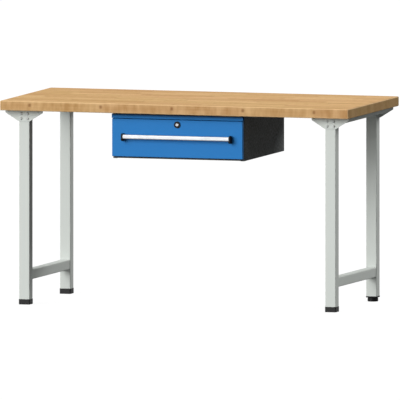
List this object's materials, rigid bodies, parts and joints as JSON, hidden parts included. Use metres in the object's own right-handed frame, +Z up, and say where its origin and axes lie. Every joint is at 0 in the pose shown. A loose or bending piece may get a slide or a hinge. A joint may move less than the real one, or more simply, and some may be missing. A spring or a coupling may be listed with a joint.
{
  "type": "combination workbench",
  "caption": "Workbench with a solid beech top on two square-tube steel leg frames, with a lockable blue drawer hung under the top and a levelling foot.",
  "frame": {"origin": "on the floor under the middle of the top", "axes": "+X to the right along the top, +Y to the rear, +Z up; the drawer opens towards -Y"},
  "size_m": [1.5, 0.7, 0.842],
  "materials": {
    "beech": "oiled",
    "light_grey_paint": "satin powder coat",
    "anthracite_paint": "fine-textured powder coat",
    "blue_paint": "satin powder coat",
    "aluminium_bar": "natural anodised",
    "black_plastic": "matt",
    "zinc_steel": "zinc plated"
  },
  "bodies": {
    "bench": {"bench_top": "beech", "left_top_traverse": "light_grey_paint", "left_front_leg": "light_grey_paint", "left_rear_leg": "light_grey_paint", "left_lower_rung": "light_grey_paint", "left_frame_bolts": "zinc_steel", "left_runner_outer": "zinc_steel", "housing_left_side": "anthracite_paint", "right_top_traverse": "light_grey_paint", "right_front_leg": "light_grey_paint", "right_rear_leg": "light_grey_paint", "right_lower_rung": "light_grey_paint", "right_frame_bolts": "zinc_steel", "right_runner_outer": "zinc_steel", "housing_right_side": "anthracite_paint", "left_front_foot": "black_plastic", "left_rear_foot": "black_plastic", "right_front_foot": "black_plastic", "leveller_insert": "black_plastic", "housing_floor": "anthracite_paint", "housing_back": "anthracite_paint", "housing_head_rail": "blue_paint"},
    "drawer": {"drawer_front": "blue_paint", "drawer_front_liner": "anthracite_paint", "drawer_left_side": "anthracite_paint", "drawer_right_side": "anthracite_paint", "drawer_floor": "anthracite_paint", "drawer_back": "anthracite_paint", "left_runner_inner": "zinc_steel", "right_runner_inner": "zinc_steel", "handle_bar": "aluminium_bar", "left_handle_cap": "black_plastic", "right_handle_cap": "black_plastic", "lock_barrel": "black_plastic", "lock_nut": "zinc_steel"},
    "left_middle_member": {"left_runner_middle": "zinc_steel"},
    "left_outer_cage": {"left_outer_ball_cage": "black_plastic"},
    "left_inner_cage": {"left_inner_ball_cage": "black_plastic"},
    "right_middle_member": {"right_runner_middle": "zinc_steel"},
    "right_outer_cage": {"right_outer_ball_cage": "black_plastic"},
    "right_inner_cage": {"right_inner_ball_cage": "black_plastic"},
    "lock_plug": {"lock_core": "zinc_steel", "lock_cam": "zinc_steel", "lock_cam_screw": "zinc_steel"},
    "levelling_spindle": {"leveller_spindle": "zinc_steel"},
    "levelling_pad": {"leveller_pad": "black_plastic"}
  },
  "joints": [
    {"name": "drawer_slide", "type": "slide", "parent": "bench", "child": "drawer", "axis": [0, -1, 0], "range_m": [0, 0.48]},
    {"name": "left_middle_member_slide", "type": "slide", "parent": "bench", "child": "left_middle_member", "axis": [0, -1, 0], "range_m": [0, 0.24]},
    {"name": "left_outer_cage_slide", "type": "slide", "parent": "bench", "child": "left_outer_cage", "axis": [0, -1, 0], "range_m": [0, 0.12]},
    {"name": "left_inner_cage_slide", "type": "slide", "parent": "bench", "child": "left_inner_cage", "axis": [0, -1, 0], "range_m": [0, 0.36]},
    {"name": "right_middle_member_slide", "type": "slide", "parent": "bench", "child": "right_middle_member", "axis": [0, -1, 0], "range_m": [0, 0.24]},
    {"name": "right_outer_cage_slide", "type": "slide", "parent": "bench", "child": "right_outer_cage", "axis": [0, -1, 0], "range_m": [0, 0.12]},
    {"name": "right_inner_cage_slide", "type": "slide", "parent": "bench", "child": "right_inner_cage", "axis": [0, -1, 0], "range_m": [0, 0.36]},
    {"name": "lock_turn", "type": "hinge", "parent": "drawer", "child": "lock_plug", "pos_m": [0, -0.305, 0.757], "axis": [0, -1, 0], "range_deg": [0, 90]},
    {"name": "levelling_slide", "type": "slide", "parent": "bench", "child": "levelling_spindle", "axis": [0, 0, -1], "range_m": [0, 0.015]},
    {"name": "pad_swivel", "type": "hinge", "parent": "levelling_spindle", "child": "levelling_pad", "pos_m": [0.659, 0.282, 0.01], "axis": [0, 0, 1], "continuous": true}
  ],
  "couplings": [
    {"joint": "left_middle_member_slide", "follows": "drawer_slide", "ratio": 0.5},
    {"joint": "left_outer_cage_slide", "follows": "drawer_slide", "ratio": 0.25},
    {"joint": "left_inner_cage_slide", "follows": "drawer_slide", "ratio": 0.75},
    {"joint": "right_middle_member_slide", "follows": "drawer_slide", "ratio": 0.5},
    {"joint": "right_outer_cage_slide", "follows": "drawer_slide", "ratio": 0.25},
    {"joint": "right_inner_cage_slide", "follows": "drawer_slide", "ratio": 0.75}
  ]
}
